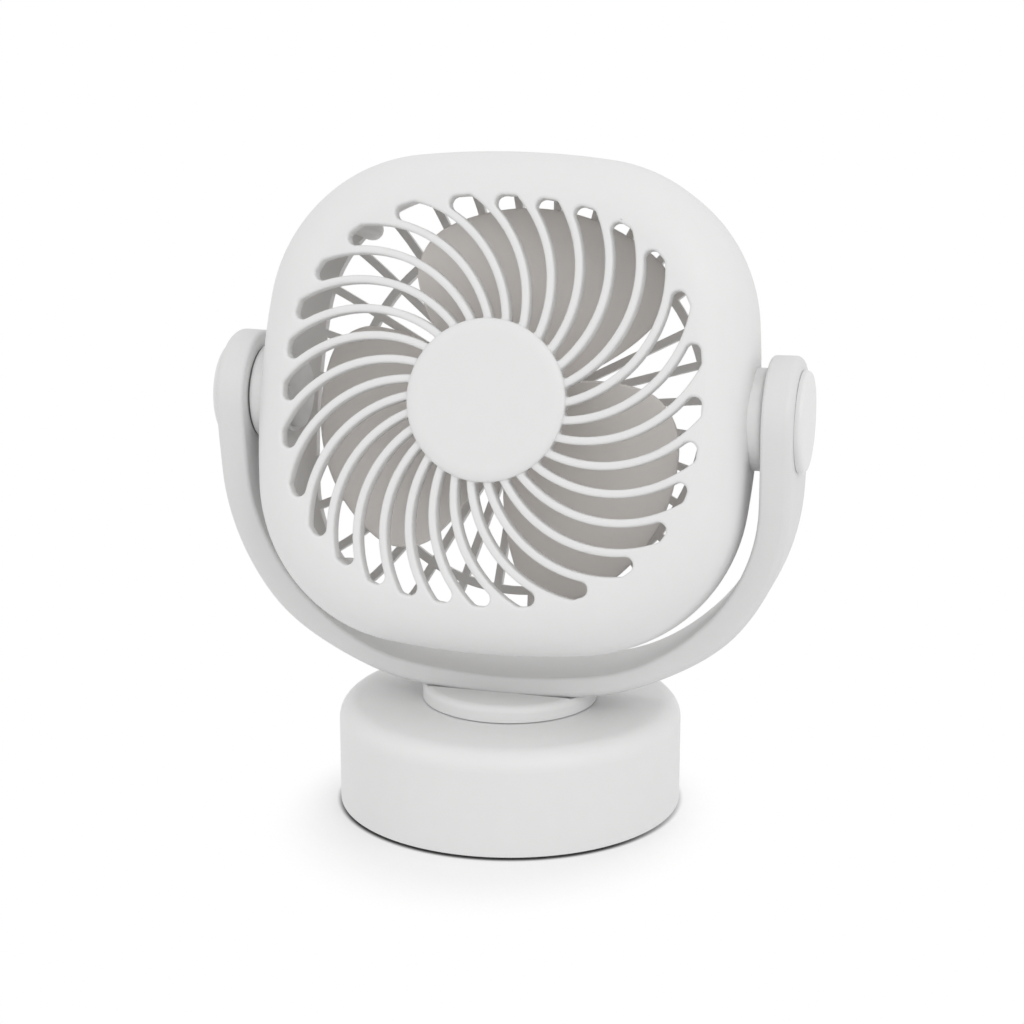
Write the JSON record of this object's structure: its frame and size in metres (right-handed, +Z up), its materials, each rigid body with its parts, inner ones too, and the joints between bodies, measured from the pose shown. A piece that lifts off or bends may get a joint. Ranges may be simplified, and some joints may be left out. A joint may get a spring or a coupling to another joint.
{
  "type": "tabletop fan",
  "caption": "Rechargeable table fan with a rounded-square head and swirl grille that tips between the arms of a U-shaped yoke, on a round swivelling drum base.",
  "frame": {"origin": "centre of the face the drum stands on", "axes": "+Z up, the fan blows towards -Y, the head tips about an axis along X"},
  "size_m": [0.1828, 0.1078, 0.2022],
  "materials": {
    "white_shell": "satin moulded",
    "impeller_plastic": "satin moulded",
    "inner_plastic": "smooth acetal",
    "foot_rubber": "matte",
    "washer_fibre": "matte",
    "steel": "zinc plated",
    "bush_brass": "sintered",
    "ferrite": "matte",
    "winding": "enamelled copper on steel laminations",
    "cell_sleeve": "heat-shrunk sleeve",
    "board": "glass laminate with solder resist",
    "black_plastic": "moulded",
    "lamp_lens": "milky diffuser"
  },
  "bodies": {
    "base": {"base_housing": "white_shell", "base_plate": "white_shell", "base_screws": "steel", "foot_ring": "foot_rubber", "front_battery_cell": "cell_sleeve", "rear_battery_cell": "cell_sleeve", "circuit_board": "board", "board_screws": "steel", "push_switch": "black_plastic", "charging_socket": "steel", "lamp_lens": "lamp_lens", "swivel_bush": "inner_plastic"},
    "button": {"power_button": "white_shell"},
    "yoke": {"yoke": "white_shell", "swivel_collar": "white_shell", "yoke_screws": "steel", "swivel_washer": "steel", "swivel_nut": "steel", "left_friction_washer": "washer_fibre", "right_friction_washer": "washer_fibre", "left_pivot_cap": "white_shell", "right_pivot_cap": "white_shell"},
    "head": {"front_shell": "white_shell", "hub_cap": "white_shell", "rear_shell": "white_shell", "shell_screws": "steel", "motor_can": "steel", "motor_end_cap": "black_plastic", "motor_front_bush": "bush_brass", "motor_rear_bush": "bush_brass", "motor_magnets": "ferrite", "motor_screws": "steel", "left_pivot_boss": "white_shell", "right_pivot_boss": "white_shell", "left_pivot_washer": "steel", "right_pivot_washer": "steel", "left_pivot_screw": "steel", "right_pivot_screw": "steel"},
    "fan": {"impeller": "impeller_plastic", "motor_shaft": "steel", "motor_armature": "winding"}
  },
  "joints": [
    {"name": "yoke_swivel", "type": "hinge", "parent": "base", "child": "yoke", "pos_m": [0, 0, 0.033], "axis": [0, 0, 1], "range_deg": [-170, 170]},
    {"name": "head_tilt", "type": "hinge", "parent": "yoke", "child": "head", "pos_m": [0, 0, 0.126], "axis": [1, 0, 0], "range_deg": [-75.5, 104.5]},
    {"name": "fan_spin", "type": "hinge", "parent": "head", "child": "fan", "pos_m": [0, 0, 0.126], "axis": [0, -0.9681, 0.2504], "continuous": true},
    {"name": "power_press", "type": "slide", "parent": "base", "child": "button", "axis": [0, -1, 0], "range_m": [0, 0.0005], "stiffness_N_per_m": 1500, "springref_m": -0.0005}
  ]
}
